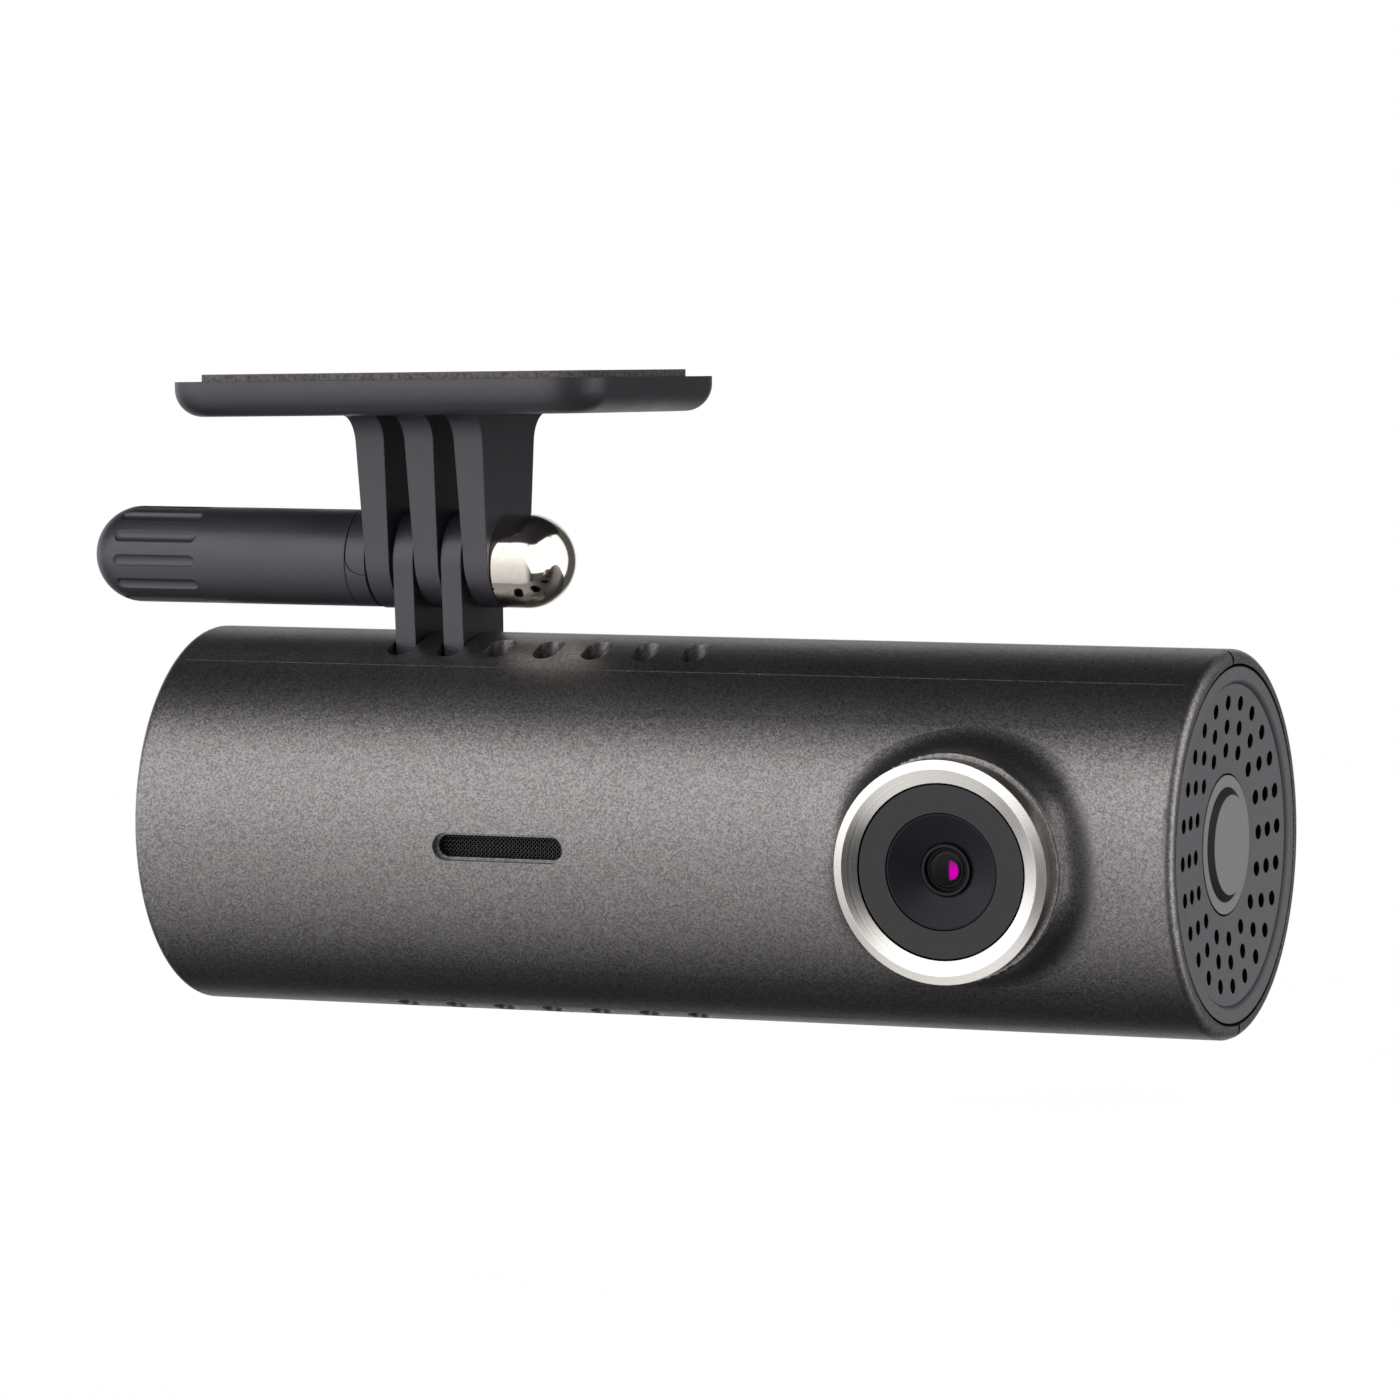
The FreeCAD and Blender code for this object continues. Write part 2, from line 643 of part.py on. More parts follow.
def lens_front_glass():
    """Domed front element."""
    rim_r = 1.88
    edge_y = -19.9
    dome_r = 3.3
    disc = cyl_y(rim_r, edge_y, -19.0, LENS_X)
    ball = Part.makeSphere(dome_r, V(LENS_X, edge_y + 2.88, 0))
    return fuse([disc, ball.common(cyl_y(rim_r, edge_y - 1.1, edge_y, LENS_X))])


def lens_barrel():
    return revolve_lens([(-19.45, 2.0), (-19.45, 5.2), (-18.3, 5.2), (-18.3, 5.9), (-9.2, 5.9), (-9.2, 3.0),
                         (-17.9, 3.0), (-17.9, 2.0)])


def lens_rear_glass():
    disc = cyl_y(2.95, -13.6, -11.4, LENS_X)
    return disc.common(Part.makeSphere(4.6, V(LENS_X, -15.0, 0)))


def lens_holder():
    """Block on the sensor board that carries the lens barrel and the filter."""
    block = box(LENS_X - 7.5, LENS_X + 7.5, -12.5, SENSOR_BACK, -7.5, 7.5)
    return cut(block, [cyl_y(5.94, -13, -8.6, LENS_X), box(LENS_X - 4.5, LENS_X + 4.5, -8.7, -6, -4.5, 4.5)])


def infrared_filter():
    return box(LENS_X - 3.6, LENS_X + 3.6, -8.3, -8.0, -3.6, 3.6)


def image_sensor():
    return box(LENS_X - 3.4, LENS_X + 3.4, SENSOR_BACK - 0.95, SENSOR_BACK, -2.8, 2.8)


def sensor_board():
    board = box(LENS_X - 9.5, LENS_X + 9.5, SENSOR_BACK, SENSOR_BACK + 1.0, -10, 10)
    return cut(board, [cyl_y(0.95, -8, -3, LENS_X + 8.3 * side, 8.7 * side) for side in (-1, 1)])


# ---- boards and electronics ---------------------------------------------------------------------
def main_board():
    board = box(-43.5, 16.0, -12.4, 13.0, BOARD_BOTTOM, BOARD_TOP)
    return cut(board, [cyl_z(1.05, -9, 0, x, y) for x, y in BOARD_POSTS])


def board_screws():
    return [screw_down(x, y, BOARD_TOP, -10.5) for x, y in BOARD_POSTS]


def processor_chip():
    return box(-14.6, -3.6, -10.0, 1.5, BOARD_TOP, BOARD_TOP + 1.1)


def thermal_pad():
    return box(-14.6, -3.6, -10.0, -0.2, BOARD_TOP + 1.1, BOARD_TOP + 1.9)


def heat_sink():
    """Finned plate under the top vents."""
    floor = BOARD_TOP + 1.9
    fin_pitch = 2.8
    base = box(-27.0, 2.0, -10.6, -0.2, floor, floor + 1.2)
    fins = []
    for k in range(11):
        x = -26.6 + fin_pitch * k
        fins.append(box(x - 0.4, x + 0.4, -10.6, -0.2, floor + 1.0, floor + 8.0))
    return fuse([base] + fins)


def memory_chips():
    return [box(-37.5, -28.5, -9.0, -3.0, BOARD_TOP, BOARD_TOP + 1.0),
            box(-37.5, -31.5, -1.5, 5.0, BOARD_TOP, BOARD_TOP + 0.9)]


def radio_shield():
    """Pressed can over the wireless module."""
    top = BOARD_TOP + 1.9
    can = box(3.2, 14.6, -5.6, 5.6, BOARD_TOP, top)
    return can.makeFillet(0.4, [e for e in can.Edges if at_z(e, top) or upright(e)])


def board_parts():
    """Small parts soldered to the board: inductors, a capacitor, the motion sensor and a row of chips."""
    parts = [box(x - 1.5, x + 1.5, 6.5, 9.5, BOARD_TOP, BOARD_TOP + 1.6) for x in (-12.0, -8.3)]
    parts.append(cyl_z(1.4, BOARD_TOP, BOARD_TOP + 2.6, 9.3, 9.3))
    parts.append(box(-32.9, -29.7, 7.0, 9.5, BOARD_TOP, BOARD_TOP + 0.9))
    for x in (-30, -27, -24, -21, -18, -7, -4, -1):
        parts.append(box(x, x + 1.0, -12.0, -11.5, BOARD_TOP, BOARD_TOP + 0.5))
    return parts


def battery():
    """Flat cell stuck to the underside of the main board."""
    cell = box(-37.0, -5.0, -8.0, 6.4, -10.15, BOARD_BOTTOM - 0.05)
    along = [e for e in cell.Edges if e.BoundBox.XLength > 31]
    return cell.makeFillet(1.4, along)


def battery_leads():
    plug_low = -5.9
    return [lead([V(-5.0, y, -8.2), V(-2.4, y, -8.2), V(-2.4, y, plug_low)], 0.55, 1.3) for y in (-1.6, 0.0)]


def battery_plug():
    return box(-3.4, 0.4, -2.8, 1.2, -5.9, BOARD_BOTTOM)


def usb_socket():
    """Metal shell of the power socket, open towards the rear."""
    body = rounded_block_y(USB_X - 3.75, USB_X + 3.75, BOARD_TOP, BOARD_TOP + 2.7, 9.8, 15.6, 0.7)
    mouth = rounded_block_y(USB_X - 3.45, USB_X + 3.45, BOARD_TOP + 0.3, BOARD_TOP + 2.4, 10.6, 16.0, 0.5)
    return cut(body, [mouth])


def usb_tongue():
    return box(USB_X - 1.9, USB_X + 1.9, 10.65, 15.0, BOARD_TOP + 1.35, BOARD_TOP + 1.95)


def card_socket():
    body = box(CARD_X - 7.1, CARD_X + 7.1, 0.2, 14.3, BOARD_TOP, BOARD_TOP + 1.8)
    return cut(body, [box(CARD_X - 5.6, CARD_X + 5.6, 0.8, 15.0, CARD_LOW - 0.06, CARD_LOW + CARD_T + 0.06)])


def memory_card():
    """Card with its stepped side and a raised finger edge."""
    body = box(CARD_X - 5.5, CARD_X + 5.5, 1.2, 16.2, CARD_LOW, CARD_LOW + 0.7)
    edge = box(CARD_X - 5.5, CARD_X + 5.5, 14.9, 16.2, CARD_LOW + 0.7, CARD_LOW + CARD_T)
    step = box(CARD_X + 4.7, CARD_X + 6.0, 0.0, 8.0, CARD_LOW - 1, CARD_LOW + 2)
    return cut(fuse([body, edge]), [step])


def indicator_light():
    """Clear light pipe from the lamp on the board to the rear face."""
    return fuse([cyl_y(0.8, 13.2, POCKET_FLOOR + 0.05, LAMP_X, PORT_Z), cyl_y(1.3, 13.2, 14.2, LAMP_X, PORT_Z)])


def indicator_lamp():
    return box(LAMP_X - 1.0, LAMP_X + 1.0, 11.8, 12.9, BOARD_TOP, BOARD_TOP + 1.2)


def reset_switch():
    body = box(RESET_X - 1.7, RESET_X + 1.7, 10.0, 12.6, BOARD_TOP, BOARD_TOP + 1.6)
    return cut(body, [cyl_y(0.5, 11.6, 13, RESET_X, PORT_Z)])


def reset_plunger():
    return cyl_y(0.45, 12.1, 13.9, RESET_X, PORT_Z)


# ---- sound --------------------------------------------------------------------------------------
def speaker_frame():
    """Cone frame with a flange that reaches the barrel's wall."""
    flange = SPEAKER_BACK + 2.4
    front = SPEAKER_BACK + 3.0
    return revolve_x([(SPEAKER_BACK, 5.4), (SPEAKER_BACK + 0.6, 10.6), (flange, 10.6), (flange, INNER_R - 0.05),
                      (front, INNER_R - 0.05), (front, 9.2), (SPEAKER_BACK + 1.4, 9.0), (SPEAKER_BACK + 1.0, 5.4)])


def speaker_magnet():
    return cyl_x(5.3, SPEAKER_BACK - 0.05, SPEAKER_BACK + 1.9)


def speaker_cone():
    return revolve_x([(SPEAKER_BACK + 2.2, 0), (SPEAKER_BACK + 2.5, 4.5), (SPEAKER_BACK + 2.9, 9.1),
                      (SPEAKER_BACK + 3.05, 9.1), (SPEAKER_BACK + 2.75, 4.5), (SPEAKER_BACK + 2.5, 0)])


def speaker_leads():
    """Two slack wires from the speaker's back to the main board's edge."""
    start = SPEAKER_BACK - 0.1
    level = BOARD_TOP - BOARD_T / 2
    low = level - 5.0
    leads = []
    for y in (4.4, 5.8):
        route = [V(start, y, level), V(34.0, y, level), V(30.0, y, low), V(22.0, y, low), V(18.6, y, level),
                 V(16.05, y, level)]
        leads.append(lead(route, 0.4, 1.5))
    return leads


def microphone():
    """Capsule on a foot that stands on the main board."""
    foot = box(VENT_MID_X - 1.4, VENT_MID_X + 1.4, -12.3, -11.5, BOARD_TOP, -0.5)
    return fuse([cyl_y(2.0, -13.6, -11.4, VENT_MID_X), foot])


def microphone_gasket():
    ring = cyl_y(2.6, -14.9, -13.6, VENT_MID_X)
    return cut(ring, [cyl_y(1.3, -15.5, -13, VENT_MID_X)])


def microphone_mesh():
    return stadium_y(14.2, 4.0, -15.15, -14.95, VENT_MID_X, 0)


# ---- fork, ribbon and antenna -------------------------------------------------------------------
def mount_fork():
    """Two fingers on a base that is screwed up inside the barrel's top."""
    base = box(MOUNT_X - 11.4, MOUNT_X + 11.4, -7.4, 7.4, FORK_BASE_LOW, FORK_BASE_TOP)
    reach = PIVOT_H - FORK_BASE_LOW - 0.5
    outline = finger_outline(FINGER_END_R, FINGER_TAPER, FINGER_TAPER, reach, 0)
    outline.rotate(ORIGIN, X, 180)
    fingers = []
    for x in FINGER_XS:
        finger = outline.extrude(X * FINGER_W)
        fingers.append(finger.translated(V(MOUNT_X + x - FINGER_W / 2, 0, PIVOT_H)))
    hole = cyl_x(FINGER_HOLE_R, MOUNT_X - FAR, MOUNT_X + FAR, 0, PIVOT_H)
    screws = [cyl_z(1.05, 8, 15, x, y) for x, y in FORK_SCREWS]
    return cut(fuse([base] + fingers), [hole] + screws)


def fork_screws():
    return [screw_up(x, y, FORK_BASE_LOW, 15.4) for x, y in FORK_SCREWS]


def sensor_ribbon():
    """Flat ribbon from the sensor board's back, round a bend, into the main board's socket."""
    low, high = -2.4, 3.6
    thick = 0.25
    turn = 1.0
    leave = LENS_X - 7.6
    knee_y = -3.9
    middle_x = leave - turn
    start = box(leave, leave + thick, SENSOR_BACK + 1.0, knee_y, low, high)
    outer = cyl_z(turn + thick, low, high, middle_x, knee_y)
    bend = outer.cut(cyl_z(turn, low - 1, high + 1, middle_x, knee_y))
    bend = bend.common(box(middle_x, middle_x + 3, knee_y, knee_y + 3, low, high))
    run = box(15.2, middle_x, knee_y + turn, knee_y + turn + thick, low, high)
    return fuse([start, bend, run])


def ribbon_socket():
    body = box(14.9, 15.9, -5.4, -0.6, BOARD_TOP, 3.8)
    return cut(body, [box(15.15, 17, -2.95, -2.6, -2.45, 5)])


def antenna():
    """Wireless antenna on a thin board stuck to the blank cap."""
    return box(-CAP_SEAT + 0.05, -CAP_SEAT + 0.65, -9.0, 9.0, -5.0, 5.0)


# ---- list of nodes ------------------------------------------------------------------------------
IN_ROW = {"mount_bracket": mount_bracket, "adhesive_foam": adhesive_foam, "adhesive_film": adhesive_film}

IN_PIVOT = {"pivot_bolt": pivot_bolt, "thumb_knob": thumb_knob, "knob_insert": knob_insert,
            "thrust_collar": thrust_collar, "collar_latch": collar_latch}

IN_BARREL = {"front_shell": front_shell, "rear_shell": rear_shell, "speaker_cap": speaker_cap,
             "blank_cap": blank_cap, "power_button": power_button, "button_board": button_board,
             "switch_body": switch_body, "switch_plunger": switch_plunger, "grille_cloth": grille_cloth,
             "lens_bezel": lens_bezel, "lens_trim": lens_trim, "lens_hood": lens_hood,
             "lens_retainer": lens_retainer, "lens_front_glass": lens_front_glass, "lens_barrel": lens_barrel,
             "lens_rear_glass": lens_rear_glass, "lens_holder": lens_holder,
             "infrared_filter": infrared_filter, "image_sensor": image_sensor, "sensor_board": sensor_board,
             "main_board": main_board, "board_screws": board_screws, "processor_chip": processor_chip,
             "thermal_pad": thermal_pad, "heat_sink": heat_sink, "memory_chips": memory_chips,
             "radio_shield": radio_shield, "board_parts": board_parts, "battery": battery,
             "battery_leads": battery_leads, "battery_plug": battery_plug, "usb_socket": usb_socket,
             "usb_tongue": usb_tongue, "card_socket": card_socket, "memory_card": memory_card,
             "indicator_light": indicator_light, "indicator_lamp": indicator_lamp,
             "reset_switch": reset_switch, "reset_plunger": reset_plunger, "speaker_frame": speaker_frame,
             "speaker_magnet": speaker_magnet, "speaker_cone": speaker_cone, "speaker_leads": speaker_leads,
             "microphone": microphone, "microphone_gasket": microphone_gasket,
             "microphone_mesh": microphone_mesh, "mount_fork": mount_fork, "fork_screws": fork_screws,
             "sensor_ribbon": sensor_ribbon, "ribbon_socket": ribbon_socket, "antenna": antenna}


def save(name, made, place):
    """Writes one node. made is a solid, or a list of separate solids that share the node."""
    shape = Part.makeCompound(made) if isinstance(made, list) else made
    shape = place(shape)
    for solid in shape.Solids:
        if not solid.isValid() or solid.Volume <= 0:
            print("not valid:", name)
    shape.exportStep(os.path.join("parts", name + ".step"))


def main():
    os.makedirs("parts", exist_ok=True)
    for makers, place in ((IN_ROW, place_row), (IN_PIVOT, place_pivot), (IN_BARREL, place_camera)):
        for name, maker in makers.items():
            save(name, maker(), place)


main()
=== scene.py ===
"""Looks for the cylindrical dash camera: materials, small details, light, floor and camera. Metres."""

import json
import math

import bpy
from mathutils import Euler, Matrix, Vector


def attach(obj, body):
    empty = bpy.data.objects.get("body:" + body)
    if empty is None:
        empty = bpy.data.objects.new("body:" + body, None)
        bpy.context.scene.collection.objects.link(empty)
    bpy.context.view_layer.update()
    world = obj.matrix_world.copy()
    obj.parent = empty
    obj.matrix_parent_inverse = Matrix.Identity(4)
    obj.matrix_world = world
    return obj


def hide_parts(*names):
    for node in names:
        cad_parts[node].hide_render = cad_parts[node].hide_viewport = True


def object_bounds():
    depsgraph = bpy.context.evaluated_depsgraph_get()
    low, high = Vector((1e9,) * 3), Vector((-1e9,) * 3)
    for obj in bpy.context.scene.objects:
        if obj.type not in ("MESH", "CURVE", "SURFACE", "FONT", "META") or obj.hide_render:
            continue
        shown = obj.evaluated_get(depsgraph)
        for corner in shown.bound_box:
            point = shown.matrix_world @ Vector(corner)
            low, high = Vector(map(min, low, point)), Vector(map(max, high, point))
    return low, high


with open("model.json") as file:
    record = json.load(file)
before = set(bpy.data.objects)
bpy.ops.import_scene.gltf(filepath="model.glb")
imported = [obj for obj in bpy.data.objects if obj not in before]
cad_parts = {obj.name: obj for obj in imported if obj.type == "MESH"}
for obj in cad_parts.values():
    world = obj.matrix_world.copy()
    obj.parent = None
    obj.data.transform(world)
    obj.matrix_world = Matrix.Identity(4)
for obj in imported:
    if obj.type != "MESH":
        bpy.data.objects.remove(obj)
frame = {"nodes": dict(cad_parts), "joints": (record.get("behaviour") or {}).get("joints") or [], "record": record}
cad_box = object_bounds()

MM = 0.001
TILT = next(j for j in frame["joints"] if j["name"] == "camera_tilt")
PIVOT = Vector(TILT["pos_m"])
ALONG = Vector(TILT["axis"]).normalized()       # along the barrel, towards the speaker
CARD = next(j for j in frame["joints"] if j["name"] == "card_slide")
REARWARD = Vector(CARD["axis"]).normalized()    # square to the barrel, away from the lens
UPWARD = ALONG.cross(REARWARD)
PIVOT_IN_BARREL = Vector((-25.27, 0, 23.57)) * MM
LENS_X = 30.15 * MM
SLOT_X = -13.375 * MM
END = 49.325 * MM           # half the barrel's length
CAP_EDGE_R = 15.48 * MM     # inside of the cap's bevel
PANEL_R = 14.35 * MM        # dished panel of the cap, and the wall round it
PANEL_WALL = 0.34 * MM
PANEL_DROP = 0.39 * MM      # how far the panel's edge lies inside the barrel's end
PANEL_SLOPE = 0.07
WALL_DARKNESS = 0.66        # painted shade of the panel's wall at its foot; 1 is as dark as the painted shade in the holes

# Where a painted shade, a painted highlight or another mark fades in: from the first distance to the second. Along
# the lens axis:
BEZEL_FACE = (-21.44 * MM, -21.38 * MM)
TRIM_FACE = (-21.38 * MM, -21.34 * MM)
SHADE_SHEET_FACE = (-15.0 * MM, -14.98 * MM)
# From the lens axis. The ring on the glass and the button's painted shade on its step fade in and then out:
BEZEL_BORE = (7.9 * MM, 7.75 * MM)
LENS_RING = ((1.36 * MM, 1.42 * MM), (1.52 * MM, 1.46 * MM))
MOON_ASIDE = 0.27 * MM      # the half-moon's centre, to the right of the lens axis; the half-moon is a painted reflection
MOON_RIM = (0.92 * MM, 0.8 * MM)
MOON_CUT = (0.22 * MM, 0.5 * MM)
MOON_HEIGHT = (1.1 * MM, -0.6 * MM)
# From the barrel's axis, from its seam and from the middle of its length. All are painted shade but the end rims'
# band, which is a painted highlight:
BUTTON_STEP = ((4.33 * MM, 4.39 * MM), (5.05 * MM, 4.99 * MM))
# Painted shade inside the seam's notches:
NOTCH_SIDE = (0.25 * MM, 0.21 * MM)
NOTCH_FOOT = (END - 0.6 * MM, END - 0.5 * MM)
# Painted highlight on the barrel's end rims.
PAINTED_RIM_LIGHT = (END - 0.9 * MM, END - 0.2 * MM)
BUTTON_FACE = (END - 0.93 * MM, END - 1.0 * MM)

CAMERA_PLACE = Vector((0.294629, -0.634115, -0.000722))
CAMERA_AZIMUTH = 23.069
CAMERA_ELEVATION = 2.382
CAMERA_ROLL = -0.670
CAMERA_LENS = 199.69
SENSOR = 36.0

FLOOR_DROP = 0.25           # the floor's distance below the object
FLOOR_REACH = 6.0

FLAKE = 0.14 * MM           # size of the paint's metal flakes
FLAKE_TILT = 0.08
TURNED_RING = 0.09 * MM     # pitch of the turned metal's rings


def at_barrel(x, y, z):
    """A point given in the barrel's own frame, in metres, as a point of the row frame."""
    local = Vector((x, y, z)) - PIVOT_IN_BARREL
    return PIVOT + ALONG * local.x + REARWARD * local.y + UPWARD * local.z


# ---- materials ----------------------------------------------------------------------------------
def connect(tree, socket, value):
    """Gives a socket a link from another node's output, or a plain value."""
    if isinstance(value, bpy.types.NodeSocket):
        tree.links.new(value, socket)
    else:
        socket.default_value = value


def add(tree, kind, settings=None, **inputs):
    """One shader node. Inputs are numbers, tuples, or another node's output, by socket name or as i0, i1
    and so on by place."""
    made = tree.nodes.new(kind)
    for key, value in (settings or {}).items():
        setattr(made, key, value)
    for key, value in inputs.items():
        numbered = key[0] == "i" and key[1:].isdigit()
        connect(tree, made.inputs[int(key[1:]) if numbered else key.replace("_", " ")], value)
    return made


def start(name):
    """A new material: itself, its node tree, its shader and the object-space coordinates."""
    material = bpy.data.materials.new(name)
    material.use_nodes = True
    tree = material.node_tree
    return material, tree, tree.nodes["Principled BSDF"], add(tree, "ShaderNodeTexCoord").outputs["Object"]


def plug(tree, shader, **inputs):
    for key, value in inputs.items():
        connect(tree, shader.inputs[key.replace("_", " ")], value)


def remap(tree, value, low, high, start_at=0.3, end_at=0.7):
    """Stretches one range of values, by default the middle of a noise, onto another."""
    made = add(tree, "ShaderNodeMapRange", None, Value=value, From_Min=start_at, From_Max=end_at,
               To_Min=low, To_Max=high)
    return made.outputs["Result"]


def blend(tree, mask, low, high):
    """The low value where the mask is 0 and the high value where it is 1."""
    return remap(tree, mask, low, high, 0.0, 1.0)


def shade(tree, color, factor):
    """A colour made lighter or darker."""
    scaled = add(tree, "ShaderNodeVectorMath", {"operation": "SCALE"}, i0=color, Scale=factor)
    return scaled.outputs["Vector"]


def fade(tree, value, start_at, end_at):
    """Smooth change from 0 at one value to 1 at the other, which may be the smaller."""
    low, high = min(start_at, end_at), max(start_at, end_at)
    ends = (0.0, 1.0) if start_at < end_at else (1.0, 0.0)
    made = add(tree, "ShaderNodeMapRange", {"interpolation_type": "SMOOTHSTEP"}, Value=value, From_Min=low,
               From_Max=high, To_Min=ends[0], To_Max=ends[1])
    return made.outputs["Result"]


def between(tree, value, rise, fall):
    """1 inside a band that fades in over one pair of values and out over another."""
    return product(tree, fade(tree, value, *rise), fade(tree, value, *fall))


def math_node(tree, operation, first, second=0.0, third=0.0):
    made = add(tree, "ShaderNodeMath", {"operation": operation}, i0=first, i1=second, i2=third)
    return made.outputs["Value"]


def product(tree, first, *more):
    for factor in more:
        first = math_node(tree, "MULTIPLY", first, factor)
    return first


def vector_node(tree, operation, first, second):
    made = add(tree, "ShaderNodeVectorMath", {"operation": operation}, i0=first, i1=second)
    return made.outputs["Vector"]


def station(tree, coords, point, axis):
    """How far the shaded place is past a point, along an axis."""
    made = add(tree, "ShaderNodeVectorMath", {"operation": "DOT_PRODUCT"},
               i0=vector_node(tree, "SUBTRACT", coords, point), i1=axis)
    return made.outputs["Value"]


def soft_edges(tree, radius):
    """Normals rounded off over a small radius at the edges."""
    return add(tree, "ShaderNodeBevel", {"samples": 4}, Radius=radius).outputs["Normal"]


def mix_colors(tree, mask, first, second):
    """The first colour where the mask is 0 and the second where it is 1."""
    return add(tree, "ShaderNodeMix", {"data_type": "RGBA"}, Factor=mask, i6=first, i7=second).outputs[2]


def noise(tree, coords, size, detail=2.0, stretch=None):
    if stretch:
        coords = add(tree, "ShaderNodeMapping", None, Vector=coords, Scale=stretch).outputs["Vector"]
    made = add(tree, "ShaderNodeTexNoise", None, Vector=coords, Scale=1 / size, Detail=detail)
    return made.outputs["Fac"]


def finish(name, color, metal=0.0, rough=0.5, grain=0.2 * MM, spread=0.12, bump=0.1, rough_spread=0.06,
           edge=0.0, specular=0.5, coat=0.0, stretch=None, sheen=(1.0, 1.0, 1.0)):
    """A moulded, painted or turned surface: fine grain in colour and height, broad change in gloss,
    and edges that catch the light over a small radius."""
    material, tree, shader, coords = start(name)
    fine = noise(tree, coords, grain, 3.0, stretch)
    broad = noise(tree, coords, 9 * MM, 2.0)
    relief = add(tree, "ShaderNodeBump", None, Strength=bump, Distance=grain / 2, Height=fine)
    if edge:
        plug(tree, relief, Normal=soft_edges(tree, edge))
    plug(tree, shader, Base_Color=shade(tree, color, remap(tree, fine, 1 - spread, 1 + spread)),
         Metallic=metal, Roughness=remap(tree, broad, rough - rough_spread, rough + rough_spread),
         Normal=relief.outputs["Normal"], Specular_IOR_Level=specular, Specular_Tint=(*sheen, 1.0),
         Coat_Weight=coat)
    return material


def flake_paint():
    """Metallic paint: flakes that each tip the surface a little, in a taupe-grey base. Painted shade makes it
    dark inside the seam's notches, and a painted highlight makes it a little lighter on the barrel's end rims."""
    material, tree, shader, coords = start("metallic_paint")
    cells = add(tree, "ShaderNodeTexVoronoi", None, Vector=coords, Scale=1 / FLAKE)
    broad = noise(tree, coords, 14 * MM, 2.0)
    tipped = shade(tree, vector_node(tree, "SUBTRACT", cells.outputs["Color"], (0.5, 0.5, 0.5)), FLAKE_TILT)
    summed = vector_node(tree, "ADD", soft_edges(tree, 0.1 * MM), tipped)
    normal = add(tree, "ShaderNodeVectorMath", {"operation": "NORMALIZE"}, i0=summed).outputs["Vector"]
    pick = add(tree, "ShaderNodeSeparateColor", None, Color=cells.outputs["Color"]).outputs["Red"]
    tint = blend(tree, pick, 0.65, 1.35)
    from_seam = math_node(tree, "ABSOLUTE", station(tree, coords, at_barrel(0, 0, 0), REARWARD))
    from_middle = math_node(tree, "ABSOLUTE", station(tree, coords, at_barrel(0, 0, 0), ALONG))
    # Painted shade inside the seam's notches.
    notch = product(tree, fade(tree, from_seam, *NOTCH_SIDE), fade(tree, from_middle, *NOTCH_FOOT))
    # Painted highlight: the end rims are made up to 1.6 times lighter.
    painted_rim_light = fade(tree, from_middle, *PAINTED_RIM_LIGHT)
    painted = shade(tree, shade(tree, (0.272, 0.26, 0.262), tint), blend(tree, painted_rim_light, 1.0, 1.6))
    plug(tree, shader, Base_Color=shade(tree, painted, blend(tree, notch, 1.0, 0.06)), Metallic=1.0,
         Normal=normal, Roughness=remap(tree, broad, 0.39, 0.42))
    return material


def about_axis(tree, coords, centre, axis):
    """Radius from an axis, depth along it, and the direction round it, in object space."""
    depth = station(tree, coords, centre, axis)
    radial = vector_node(tree, "SUBTRACT", vector_node(tree, "SUBTRACT", coords, centre),
                         shade(tree, tuple(axis), depth))
    radius = add(tree, "ShaderNodeVectorMath", {"operation": "LENGTH"}, i0=radial).outputs["Value"]
    return radius, depth, vector_node(tree, "CROSS_PRODUCT", tuple(axis), radial)


def about_lens(tree, coords):
    """The same, about the axis of the lens."""
    return about_axis(tree, coords, at_barrel(LENS_X, 0, 0), REARWARD)


def turned_metal():
    """Turned aluminium with fine rings about the lens axis, with painted shade that makes it dark in the gap
    inside it.
    """
    material, tree, shader, coords = start("turned_aluminium")
    radius, depth, around = about_lens(tree, coords)
    place = math_node(tree, "ADD", radius, depth)
    rings = add(tree, "ShaderNodeTexNoise", {"noise_dimensions": "1D"}, W=place,
                Scale=1 / TURNED_RING, Detail=2.0).outputs["Fac"]
    specks = noise(tree, coords, 0.12 * MM, 1.0)
    relief = add(tree, "ShaderNodeBump", None, Strength=0.1, Distance=0.03 * MM, Height=rings,
                 Normal=soft_edges(tree, 0.08 * MM))
    tangent = add(tree, "ShaderNodeVectorMath", {"operation": "NORMALIZE"}, i0=around).outputs["Vector"]
    # Painted shade on the bezel's inner wall, where it drops into the gap.
    painted_shade = product(tree, fade(tree, depth, *BEZEL_FACE), fade(tree, radius, *BEZEL_BORE))
    bright = shade(tree, (0.86, 0.84, 0.81), remap(tree, specks, 0.95, 1.05))
    plug(tree, shader, Base_Color=shade(tree, bright, blend(tree, painted_shade, 1.0, 0.01)), Metallic=1.0,
         Roughness=remap(tree, rings, 0.2, 0.28), Normal=relief.outputs["Normal"], Anisotropic=0.75,
         Tangent=tangent)
    return material


def lens_coating():
    """Dark coated glass: near black, with a fine ring near its rim and a bright magenta half-moon, a painted
    reflection that is also made metallic.
    """
    material, tree, shader, coords = start("coated_glass")
    radius = about_lens(tree, coords)[0]
    haze = noise(tree, coords, 0.5 * MM, 2.0)
    moon_r = about_axis(tree, coords, at_barrel(LENS_X + MOON_ASIDE, 0, 0), REARWARD)[0]
    across = station(tree, coords, at_barrel(LENS_X, 0, 0), ALONG)
    height = station(tree, coords, at_barrel(LENS_X, 0, 0), UPWARD)
    inside = fade(tree, moon_r, *MOON_RIM)
    right = fade(tree, across, *MOON_CUT)
    low = fade(tree, height, *MOON_HEIGHT)
    # The half-moon is a painted reflection, made metallic too.
    moon = product(tree, inside, right, blend(tree, low, 0.35, 1.0))
    line = between(tree, radius, *LENS_RING)
    dark = shade(tree, (0.004, 0.004, 0.006), remap(tree, haze, 0.8, 1.2))
    lined = mix_colors(tree, line, dark, (0.03, 0.032, 0.034, 1))
    color = mix_colors(tree, moon, lined, (0.85, 0.0, 0.62, 1))
    plug(tree, shader, Base_Color=color, Metallic=moon, Roughness=0.12, Specular_IOR_Level=0.12)
    return material


